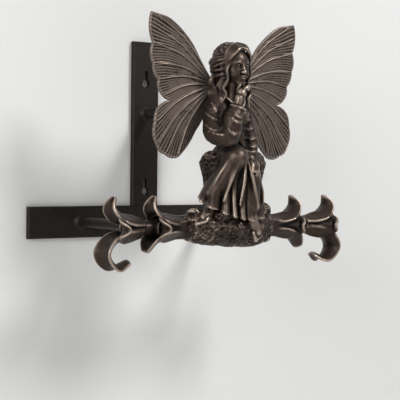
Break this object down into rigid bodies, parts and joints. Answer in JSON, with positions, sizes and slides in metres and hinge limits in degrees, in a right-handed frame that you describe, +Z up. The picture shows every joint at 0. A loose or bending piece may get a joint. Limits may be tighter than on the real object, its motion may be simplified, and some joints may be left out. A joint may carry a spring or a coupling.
{
  "type": "hose hanger",
  "caption": "Wall-mounted hose hanger: a flat-bar bracket with round arms that hold a coiled hose behind a cast garden fairy on a flowering branch.",
  "frame": {"origin": "centre of the crossbar's back face, on the wall, at the height of the two lower arms", "axes": "+Y into the wall, so the front faces -Y; +X along the crossbar to the right as seen from the front; +Z up the upright"},
  "size_m": [0.2874, 0.1831, 0.2404],
  "materials": {
    "bracket_bar": "dark brown-black satin paint on flat steel bar",
    "arm_rod": "dark brown-black satin paint on round steel rod",
    "figure_bronze": "sand-cast, antique bronze patina, dark in the hollows and rubbed lighter on the ridges",
    "wing_bronze": "thin casting, antique bronze patina, rubbed lighter on the veins"
  },
  "bodies": {
    "root": {"wall_crossbar": "bracket_bar", "wall_upright": "bracket_bar", "left_arm": "arm_rod", "right_arm": "arm_rod", "upper_arm": "arm_rod", "figure_casting": "figure_bronze", "left_wing": "wing_bronze", "right_wing": "wing_bronze"}
  },
  "joints": []
}
